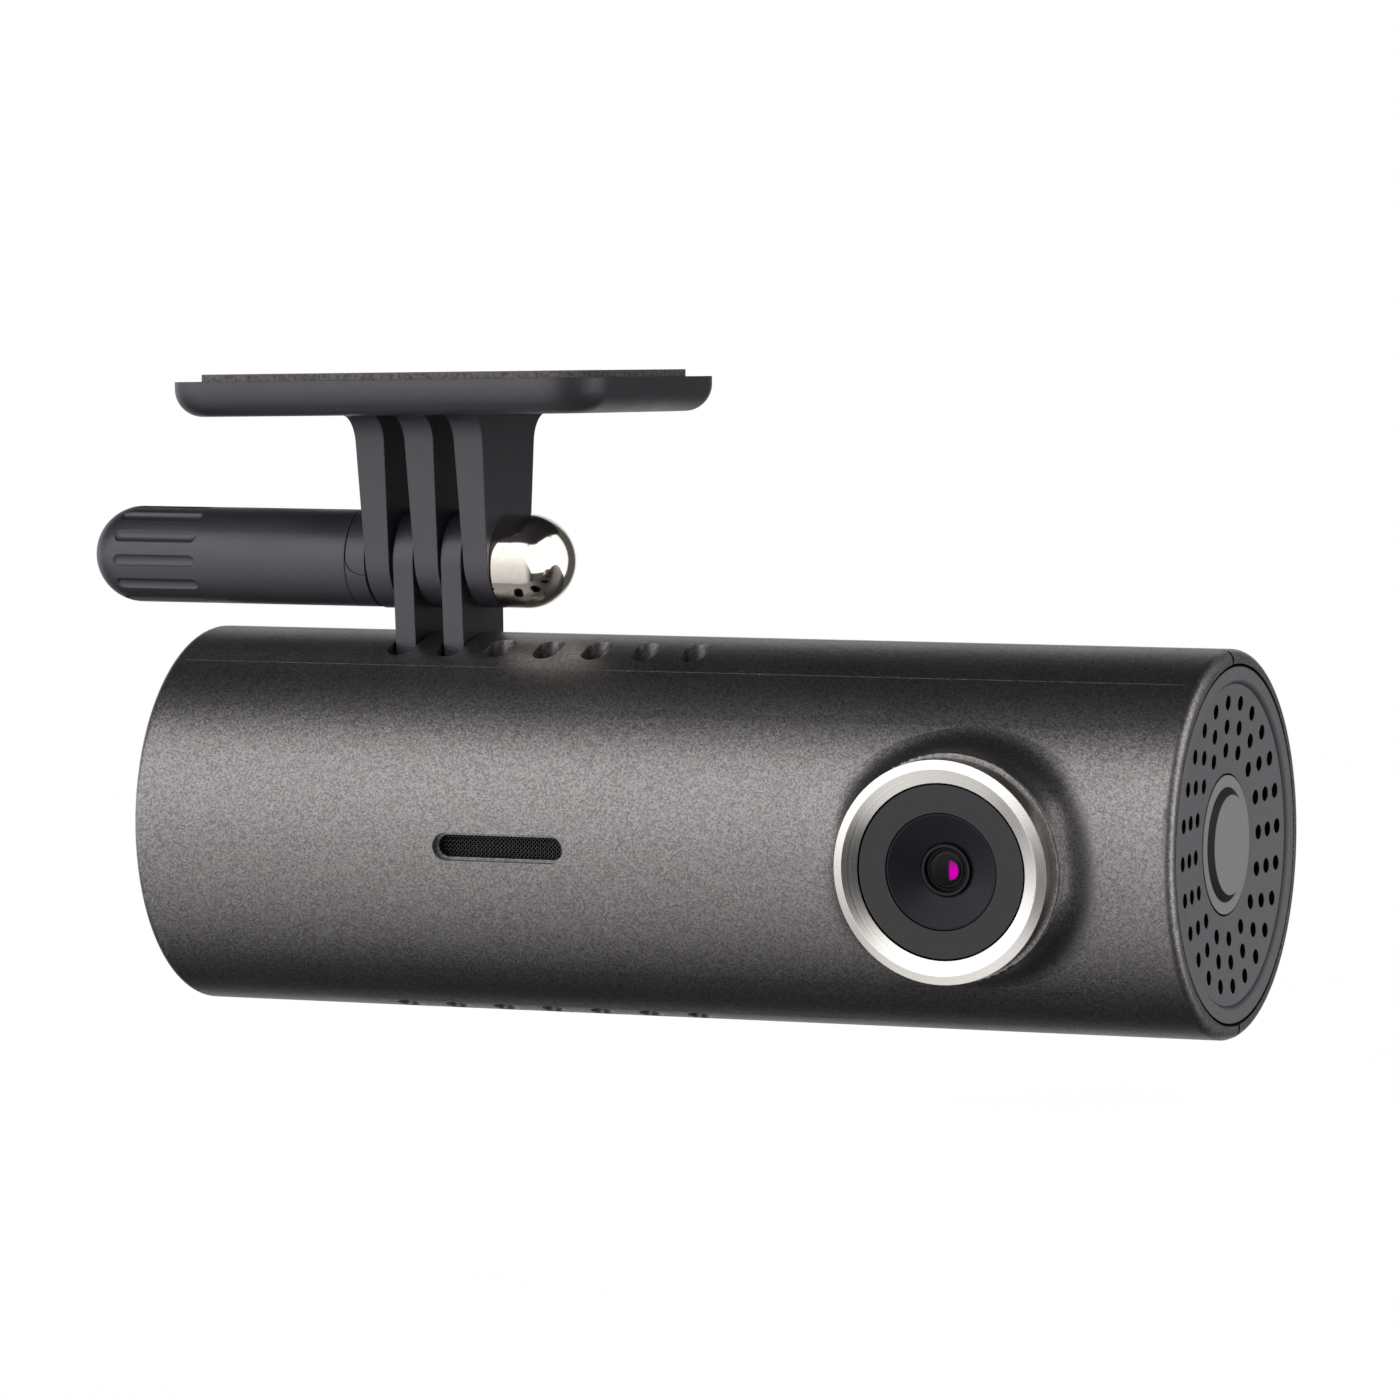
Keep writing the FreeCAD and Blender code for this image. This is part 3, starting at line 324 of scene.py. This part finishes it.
def woven_cloth(name, color, pitch):
    """Fine woven mesh: two sets of threads at 45 degrees, dark between them."""
    material, tree, shader, coords = start(name)
    turned = add(tree, "ShaderNodeMapping", None, Vector=coords,
                 Rotation=(0, math.radians(45), 0)).outputs["Vector"]
    waves = []
    for direction in ("X", "Z"):
        wave = add(tree, "ShaderNodeTexWave", {"bands_direction": direction}, Vector=turned,
                   Scale=math.pi / (10 * pitch))
        waves.append(wave.outputs["Fac"])
    threads = math_node(tree, "MAXIMUM", *waves)
    relief = add(tree, "ShaderNodeBump", None, Strength=0.9, Distance=pitch / 3, Height=threads)
    plug(tree, shader, Base_Color=shade(tree, color, remap(tree, threads, 0.1, 1.3, 0.5, 1.0)),
         Roughness=0.6, Normal=relief.outputs["Normal"])
    return material


def mesh_wire():
    """Dark wire of the microphone's mesh, on a thin black sheet that is painted shade for the dark inside the
    slot.
    """
    material, tree, shader, coords = start("mesh_wire")
    # Painted shade: the thin sheet behind the wires is made near black, with no gloss.
    shade_sheet = fade(tree, about_lens(tree, coords)[1], *SHADE_SHEET_FACE)
    fine = noise(tree, coords, 0.1 * MM)
    wire = shade(tree, (0.06, 0.06, 0.065), remap(tree, fine, 0.8, 1.2))
    plug(tree, shader, Base_Color=shade(tree, wire, blend(tree, shade_sheet, 1.0, 0.03)), Roughness=0.42,
         Specular_IOR_Level=blend(tree, shade_sheet, 0.5, 0.0))
    return material


def circuit_board():
    """Green board with traces, pads and fine variation."""
    material, tree, shader, coords = start("circuit_board")
    cells = add(tree, "ShaderNodeTexVoronoi", {"distance": "MANHATTAN", "feature": "F1"}, Vector=coords,
                Scale=1 / (1.6 * MM))
    lines = remap(tree, cells.outputs["Distance"], 0.0, 1.0, 0.42, 0.5)
    fine = noise(tree, coords, 0.3 * MM)
    color = mix_colors(tree, lines, (0.01, 0.09, 0.035, 1), (0.02, 0.16, 0.06, 1))
    tinted = shade(tree, color, remap(tree, fine, 0.9, 1.1))
    relief = add(tree, "ShaderNodeBump", None, Strength=0.3, Distance=0.05 * MM, Height=lines)
    plug(tree, shader, Base_Color=tinted, Roughness=0.32, Normal=relief.outputs["Normal"])
    return material


def cap_plastic():
    """Satin grey plastic of the end caps, with painted shade that makes it dark inside the grille holes,
    on the bevel in the gap and at the foot of the panel's wall."""
    material, tree, shader, coords = start("cap_plastic")
    radius, from_middle = about_axis(tree, coords, at_barrel(0, 0, 0), ALONG)[:2]
    # Painted shade: dark by depth below the panel's surface, on the bevel past CAP_EDGE_R and at the foot of the
    # panel's wall.
    inward = math_node(tree, "SUBTRACT", PANEL_R, math_node(tree, "MINIMUM", radius, PANEL_R))
    surface = math_node(tree, "SUBTRACT", END - PANEL_DROP, product(tree, inward, PANEL_SLOPE))
    depth = math_node(tree, "SUBTRACT", surface, math_node(tree, "ABSOLUTE", from_middle))
    holes = fade(tree, depth, 0.01 * MM, 0.05 * MM)
    rim = fade(tree, radius, CAP_EDGE_R - 0.01 * MM, CAP_EDGE_R + 0.02 * MM)
    foot = PANEL_R - PANEL_WALL + 0.02 * MM
    wall = between(tree, radius, (PANEL_R + 0.02 * MM, foot), (foot - 0.12 * MM, foot))
    deepest = math_node(tree, "MAXIMUM", holes, rim)
    painted_shade = math_node(tree, "MAXIMUM", deepest, product(tree, wall, WALL_DARKNESS))
    fine = noise(tree, coords, 0.16 * MM, 3.0)
    broad = noise(tree, coords, 9 * MM, 2.0)
    relief = add(tree, "ShaderNodeBump", None, Strength=0.18, Distance=0.08 * MM, Height=fine,
                 Normal=soft_edges(tree, 0.06 * MM))
    grain = shade(tree, (0.305, 0.302, 0.328), remap(tree, fine, 0.86, 1.14))
    plug(tree, shader, Base_Color=shade(tree, grain, blend(tree, painted_shade, 1.0, 0.02)),
         Roughness=remap(tree, broad, 0.5, 0.6), Normal=relief.outputs["Normal"],
         Specular_IOR_Level=blend(tree, painted_shade, 0.45, 0.05))
    return material


def trim_plastic():
    """Matt plastic of the ring inside the bezel, with painted shade that makes it black on its sides where they
    drop into the gaps.
    """
    material, tree, shader, coords = start("trim_plastic")
    # Painted shade on the trim's sides, down in the gaps.
    painted_shade = fade(tree, about_lens(tree, coords)[1], *TRIM_FACE)
    fine = noise(tree, coords, 0.12 * MM, 3.0)
    relief = add(tree, "ShaderNodeBump", None, Strength=0.15, Distance=0.06 * MM, Height=fine)
    grain = shade(tree, (0.028, 0.028, 0.032), remap(tree, fine, 0.86, 1.14))
    plug(tree, shader, Base_Color=shade(tree, grain, blend(tree, painted_shade, 1.0, 0.1)),
         Normal=relief.outputs["Normal"], Roughness=remap(tree, fine, 0.47, 0.53),
         Specular_IOR_Level=blend(tree, painted_shade, 0.5, 0.0))
    return material


def button_plastic():
    """Lighter satin plastic, with painted shade that makes it dark on the step round the raised face and on the
    edge in its gap.
    """
    material, tree, shader, coords = start("button_plastic")
    radius, from_middle = about_axis(tree, coords, at_barrel(0, 0, 0), ALONG)[:2]
    # Painted shade on the step round the raised face and on the edge in its gap.
    step = between(tree, radius, *BUTTON_STEP)
    painted_shade = fade(tree, from_middle, *BUTTON_FACE)
    dark = math_node(tree, "MAXIMUM", step, painted_shade)
    fine = noise(tree, coords, 0.14 * MM, 3.0)
    relief = add(tree, "ShaderNodeBump", None, Strength=0.05, Distance=0.07 * MM, Height=fine)
    grain = shade(tree, (0.575, 0.575, 0.59), remap(tree, fine, 0.94, 1.06))
    plug(tree, shader, Base_Color=shade(tree, grain, blend(tree, dark, 1.0, 0.07)),
         Normal=relief.outputs["Normal"], Roughness=remap(tree, fine, 0.46, 0.54),
         Specular_IOR_Level=blend(tree, dark, 0.5, 0.2))
    return material


# The plainer finishes, by material slot. Colours are linear.
FINISHES = {
    "mount_plastic": dict(color=(0.039, 0.038, 0.048), rough=0.4, grain=0.13 * MM, spread=0.25,
                          bump=0.3, edge=0.14 * MM, specular=1.0, sheen=(0.96, 0.94, 1.0)),
    "fork_plastic": dict(color=(0.036, 0.036, 0.045), rough=0.36, grain=0.16 * MM, spread=0.3,
                         bump=0.35, edge=0.14 * MM, specular=0.95, sheen=(0.96, 0.95, 1.0)),
    "bolt_steel": dict(color=(0.8, 0.76, 0.69), metal=1.0, rough=0.09, grain=0.5 * MM, spread=0.03,
                       bump=0.01, rough_spread=0.02),
    "insert_brass": dict(color=(0.75, 0.56, 0.27), metal=1.0, rough=0.3, grain=0.3 * MM,
                         spread=0.1, bump=0.05),
    "hood_plastic": dict(color=(0.007, 0.007, 0.014), rough=0.4, grain=0.3 * MM, spread=0.1,
                         bump=0.04, specular=0.3),
    "lens_metal": dict(color=(0.02, 0.02, 0.022), metal=0.6, rough=0.35, grain=0.2 * MM,
                       spread=0.1, bump=0.05),
    "filter_glass": dict(color=(0.25, 0.45, 0.5), metal=0.2, rough=0.08, grain=0.5 * MM,
                         spread=0.05, bump=0.01, rough_spread=0.02),
    "chip_black": dict(color=(0.02, 0.02, 0.022), rough=0.55, grain=0.1 * MM, bump=0.2),
    "socket_black": dict(color=(0.018, 0.018, 0.019), rough=0.45, grain=0.2 * MM),
    "sheet_steel": dict(color=(0.62, 0.61, 0.59), metal=1.0, rough=0.3, grain=0.25 * MM,
                        spread=0.06, bump=0.05, stretch=(1, 6, 1)),
    "screw_steel": dict(color=(0.55, 0.55, 0.56), metal=1.0, rough=0.32, grain=0.2 * MM,
                        spread=0.08, bump=0.06),
    "sink_aluminium": dict(color=(0.66, 0.67, 0.69), metal=1.0, rough=0.38, grain=0.25 * MM,
                           spread=0.06, bump=0.06, stretch=(5, 1, 1)),
    "pad_rubber": dict(color=(0.3, 0.36, 0.46), rough=0.7, grain=0.4 * MM),
    "gasket_rubber": dict(color=(0.015, 0.015, 0.015), rough=0.8, grain=0.3 * MM, bump=0.4),
    "adhesive_foam": dict(color=(0.2, 0.183, 0.175), rough=0.85, grain=0.35 * MM, spread=0.45, bump=0.8),
    "adhesive_film": dict(color=(0.2, 0.185, 0.175), rough=0.6, grain=0.3 * MM, spread=0.2, bump=0.3),
    "cell_foil": dict(color=(0.5, 0.51, 0.53), metal=0.9, rough=0.35, grain=1.5 * MM, spread=0.06,
                      bump=0.15),
    "wire_cover": dict(color=(0.4, 0.02, 0.02), rough=0.4, grain=0.3 * MM),
    "ribbon_film": dict(color=(0.42, 0.18, 0.04), rough=0.3, grain=0.3 * MM, stretch=(1, 1, 8)),
    "cone_paper": dict(color=(0.03, 0.03, 0.033), rough=0.8, grain=0.3 * MM, bump=0.4),
    "magnet_iron": dict(color=(0.08, 0.08, 0.09), metal=0.8, rough=0.5, grain=0.3 * MM),
    "frame_plastic": dict(color=(0.03, 0.03, 0.03), rough=0.5),
    "lamp_clear": dict(color=(0.6, 0.63, 0.66), rough=0.15, grain=0.6 * MM, spread=0.05, bump=0.02,
                       coat=0.5),
    "card_plastic": dict(color=(0.02, 0.02, 0.023), rough=0.4, grain=0.2 * MM),
}


def make_materials():
    """One material for each slot of the record, by its name."""
    mat = {name: finish(name, **look) for name, look in FINISHES.items()}
    mat["shell_paint"] = flake_paint()
    mat["bezel_metal"] = turned_metal()
    mat["lens_glass"] = lens_coating()
    mat["board_green"] = circuit_board()
    mat["grille_fabric"] = woven_cloth("black_mesh", (0.02, 0.02, 0.021), 0.32 * MM)
    mat["cap_plastic"] = cap_plastic()
    mat["button_plastic"] = button_plastic()
    mat["trim_plastic"] = trim_plastic()
    mat["mesh_wire"] = mesh_wire()
    return mat


def dress_nodes(mat):
    """Every CAD node takes the material of its slot. The fork's plastic is the glossier one."""
    slots = {part["node"]: part["material_slot"] for part in frame["record"]["subparts"]}
    for name, obj in frame["nodes"].items():
        obj.data.materials.clear()
        obj.data.materials.append(mat["fork_plastic" if name == "mount_fork" else slots[name]])


# ---- small pieces -------------------------------------------------------------------------------
def piece_object(name, verts, faces, body, material):
    """A mesh piece that rides on a body."""
    mesh = bpy.data.meshes.new(name)
    mesh.from_pydata([tuple(v) for v in verts], [], faces)
    mesh.update()
    mesh.materials.append(material)
    piece = bpy.data.objects.new(name, mesh)
    bpy.context.scene.collection.objects.link(piece)
    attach(piece, body)
    return piece


def tube(verts, faces, path, side, normal, radius, sides=4):
    """Adds a closed thin tube along a path that stays square to side and normal."""
    first = len(verts)
    for point in path:
        for k in range(sides):
            a = 2 * math.pi * (k + 0.5) / sides
            verts.append(point + side * (radius * math.cos(a)) + normal * (radius * math.sin(a)))
    for ring in range(len(path) - 1):
        for k in range(sides):
            a = first + ring * sides + k
            b = first + ring * sides + (k + 1) % sides
            faces.append((a, b, b + sides, a + sides))
    last = first + (len(path) - 1) * sides
    faces.append(tuple(first + k for k in reversed(range(sides))))
    faces.append(tuple(last + k for k in range(sides)))


def stadium_prism(verts, faces, width, height, y0, y1, x, z):
    """Adds a flat plate with a round-ended outline, square to the lens direction."""
    first = len(verts)
    steps = 16
    outline = []
    for side in (1, -1):
        for k in range(steps + 1):
            a = math.pi * (k / steps - 0.5) + (0 if side > 0 else math.pi)
            round_x = (side * (width - height) + height * math.cos(a)) / 2
            outline.append((x + round_x, z + height / 2 * math.sin(a)))
    for y in (y0, y1):
        verts.extend(at_barrel(px, y, pz) for px, pz in outline)
    n = len(outline)
    faces.append(tuple(first + k for k in range(n)))
    faces.append(tuple(first + n + k for k in reversed(range(n))))
    for k in range(n):
        j = (k + 1) % n
        faces.append((first + k, first + n + k, first + n + j, first + j))


def microphone_weave(mat):
    """Woven wire mesh over a thin black sheet, painted shade for the dark inside, behind the microphone's slot."""
    pitch, wire, swing = 0.27 * MM, 0.045 * MM, 0.04 * MM
    width, height = 12.9 * MM, 2.9 * MM
    middle_y = -15.07 * MM
    verts, faces = [], []
    reach = (width + height) / 2
    count = int(reach / math.sqrt(2) / pitch)
    step = pitch / 2
    for way in (1, -1):
        run = (ALONG + UPWARD * way).normalized()
        side = (ALONG - UPWARD * way).normalized()
        for k in range(-count, count + 1):
            path = []
            for j in range(-int(reach / step), int(reach / step) + 1):
                along, off = j * step, k * pitch
                x = (along + off) / math.sqrt(2)
                z = way * (along - off) / math.sqrt(2)
                beyond = max(0.0, abs(x) - (width - height) / 2)
                if math.hypot(beyond, z) > height / 2:
                    continue
                lift = swing * way * math.sin(math.pi * (along / pitch + k + 0.5))
                path.append(at_barrel(SLOT_X + x, middle_y + lift, z))
            if len(path) > 2:
                tube(verts, faces, path, side, REARWARD, wire)
    # A thin sheet behind the wires, made black as painted shade of the slot's inside.
    stadium_prism(verts, faces, 14.2 * MM, 4.0 * MM, -14.97 * MM, -14.95 * MM, SLOT_X, 0)
    weave = piece_object("microphone_weave", verts, faces, "camera", mat["mesh_wire"])
    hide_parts("microphone_mesh")


def slab(verts, faces, low, high):
    """Adds a thin block between two corners in the barrel's frame."""
    first = len(verts)
    for x in (low[0], high[0]):
        for y in (low[1], high[1]):
            for z in (low[2], high[2]):
                verts.append(at_barrel(x, y, z))
    for quad in ((0, 1, 3, 2), (4, 6, 7, 5), (0, 4, 5, 1), (2, 3, 7, 6), (0, 2, 6, 4), (1, 5, 7, 3)):
        faces.append(tuple(first + k for k in quad))


def usb_contacts(mat):
    """Two rows of gilt contacts on the tongue of the power socket."""
    verts, faces = [], []
    for k in range(12):
        x = (-2.0 + (k - 5.5) * 0.3) * MM
        for z in (-2.09 * MM, -1.45 * MM):
            slab(verts, faces, (x - 0.1 * MM, 11.6 * MM, z), (x + 0.1 * MM, 14.7 * MM, z + 0.04 * MM))
    piece_object("usb_contacts", verts, faces, "camera", mat["insert_brass"])


# ---- light, floor and camera --------------------------------------------------------------------
# Angles are in degrees: up from level, or round from the front towards the right. A pair is where an
# edge fades from dark to full light. A band is its two ends and the width of its soft edges. The big
# box in front has its brightness by angle up from level.
SOFT_BOX = ((-104, 0.0), (-90, 0.02), (-79, 0.17), (-64, 0.27), (-48, 0.42), (-34, 0.5),
            (-10, 0.62), (15, 0.9), (42, 1.0), (54, 0.95), (60, 0.02), (77, 0.0))
BOX_POWER = 1.5
BOX_LEFT = (-118, -98)
BOX_RIGHT = (32, 12)
SIDE_STRIP = 0.97
STRIP_AROUND = (88, 122, 9)
STRIP_UP = (-25, 45, 8)
REAR_BOX = 0.8
REAR_EDGE = (138, 158)
GAP_FILL = 0.07
FILL_AROUND = (40, 175, 12)
FILL_UP = (-40, 50, 12)
AMBIENT = 0.025


def band(tree, angle, low, high, soft):
    """1 between two angles, fading to 0 over a few degrees outside them."""
    return product(tree, fade(tree, angle, low - soft, low), fade(tree, angle, high + soft, high))


def build_lights():
    """A studio all round the object: a tall soft box in front, a strip on the right and a box behind.
    What the camera sees past the object is plain white."""
    world = bpy.data.worlds.new("studio")
    world.use_nodes = True
    tree = world.node_tree
    tree.nodes.clear()
    direction = add(tree, "ShaderNodeTexCoord").outputs["Generated"]
    way = add(tree, "ShaderNodeSeparateXYZ", None, Vector=direction)
    x, z = way.outputs["X"], way.outputs["Z"]
    forward = product(tree, way.outputs["Y"], -1.0)
    turn = 180 / math.pi
    tipped = product(tree, math_node(tree, "ARCTAN2", z, forward), turn)
    azimuth = product(tree, math_node(tree, "ARCTAN2", x, forward), turn)
    elevation = product(tree, math_node(tree, "ARCSINE", z), turn)
    ramp = add(tree, "ShaderNodeValToRGB", None, Fac=math_node(tree, "MULTIPLY_ADD", tipped, 1 / 360, 0.5))
    stops = ramp.color_ramp.elements
    for k, (angle, level) in enumerate(SOFT_BOX):
        stop = stops[k] if k < 2 else stops.new(1.0)
        stop.position = angle / 360 + 0.5
        stop.color = (level, level, level, 1)
    sides = product(tree, fade(tree, azimuth, *BOX_LEFT), fade(tree, azimuth, *BOX_RIGHT))
    front = product(tree, product(tree, ramp.outputs["Color"], sides), BOX_POWER)
    strip = product(tree, band(tree, azimuth, *STRIP_AROUND), band(tree, elevation, *STRIP_UP))
    corner = product(tree, band(tree, azimuth, *FILL_AROUND), band(tree, elevation, *FILL_UP))
    behind = math_node(tree, "ABSOLUTE", tipped)
    rear = product(tree, fade(tree, behind, *REAR_EDGE), fade(tree, x, 0.1, -0.1))
    total = math_node(tree, "ADD", front, product(tree, strip, SIDE_STRIP))
    total = math_node(tree, "ADD", total, product(tree, rear, REAR_BOX))
    total = math_node(tree, "ADD", total, product(tree, corner, GAP_FILL))
    total = math_node(tree, "ADD", total, AMBIENT)
    path = add(tree, "ShaderNodeLightPath")
    studio = add(tree, "ShaderNodeBackground", None, Color=(1, 0.99, 0.98, 1), Strength=total)
    white = add(tree, "ShaderNodeBackground", None, Color=(1, 1, 1, 1), Strength=1.0)
    both = add(tree, "ShaderNodeMixShader", None, Fac=path.outputs["Is Camera Ray"], i1=studio.outputs[0],
               i2=white.outputs[0])
    add(tree, "ShaderNodeOutputWorld", None, Surface=both.outputs[0])
    bpy.context.scene.world = world


def linked_card(name, node, azimuth, elevation, size, energy, roll=0):
    """Soft card, a metre from the clamp's pivot, that lights one metal node only. Its direction is in
    degrees, round from the front towards the right and up from level."""
    light = bpy.data.lights.new(name, "AREA")
    light.shape = "RECTANGLE"
    light.size, light.size_y = size
    light.energy = energy
    light.color = (1, 0.985, 0.97)
    card = bpy.data.objects.new(name, light)
    bpy.context.scene.collection.objects.link(card)
    azimuth, elevation = math.radians(azimuth), math.radians(elevation)
    level = Vector((math.sin(azimuth), -math.cos(azimuth), 0))
    way = level * math.cos(elevation) + Vector((0, 0, math.sin(elevation)))
    card.location = PIVOT + way
    turned = way.to_track_quat("Z", "Y").to_matrix() @ Matrix.Rotation(math.radians(roll), 3, "Z")
    card.rotation_euler = turned.to_euler()
    card.visible_camera = False
    seen_by = bpy.data.collections.new(name + "_sees")
    seen_by.objects.link(frame["nodes"][node])
    card.light_linking.receiver_collection = seen_by


def build_floor():
    """Plain pale floor well below the hanging camera."""
    mesh = bpy.data.meshes.new("floor")
    low = cad_box[0].z - FLOOR_DROP
    corners = [(x * FLOOR_REACH, y * FLOOR_REACH, low) for x, y in ((-1, -1), (1, -1), (1, 1), (-1, 1))]
    mesh.from_pydata(corners, [], [(0, 1, 2, 3)])
    floor = bpy.data.objects.new("floor", mesh)
    bpy.context.scene.collection.objects.link(floor)
    material = bpy.data.materials.new("pale_floor")
    material.use_nodes = True
    tree = material.node_tree
    tree.nodes.clear()
    mottle = noise(tree, add(tree, "ShaderNodeTexCoord").outputs["Object"], 0.2)
    glow = add(tree, "ShaderNodeEmission", None, Color=(1, 1, 1, 1),
               Strength=remap(tree, mottle, 0.995, 1.005))
    add(tree, "ShaderNodeOutputMaterial", None, Surface=glow.outputs[0])
    mesh.materials.append(material)
    floor.visible_diffuse = False
    floor.visible_glossy = False
    floor.visible_shadow = False


def build_camera():
    """Camera at the photograph's viewing angle."""
    camera = bpy.data.cameras.new("camera")
    camera.lens = CAMERA_LENS
    camera.sensor_width = SENSOR
    camera.clip_start = 0.01
    eye = bpy.data.objects.new("camera", camera)
    turn = Euler((math.radians(90 - CAMERA_ELEVATION), 0, math.radians(CAMERA_AZIMUTH))).to_matrix()
    roll = Matrix.Rotation(math.radians(CAMERA_ROLL), 4, "Z")
    eye.matrix_world = Matrix.Translation(CAMERA_PLACE) @ turn.to_4x4() @ roll
    bpy.context.scene.collection.objects.link(eye)
    bpy.context.scene.camera = eye


def show_true_colours():
    bpy.context.scene.view_settings.view_transform = "Standard"


materials = make_materials()
dress_nodes(materials)
microphone_weave(materials)
usb_contacts(materials)
build_lights()
linked_card("front_card", "pivot_bolt", 60, 13, (1.9, 1.5), 12.5, 18)
linked_card("side_card", "pivot_bolt", 117, 10, (0.68, 1.4), 3.3)
linked_card("low_card", "lens_bezel", -20, -58, (1.5, 0.8), 1.4)
build_floor()
build_camera()
show_true_colours()
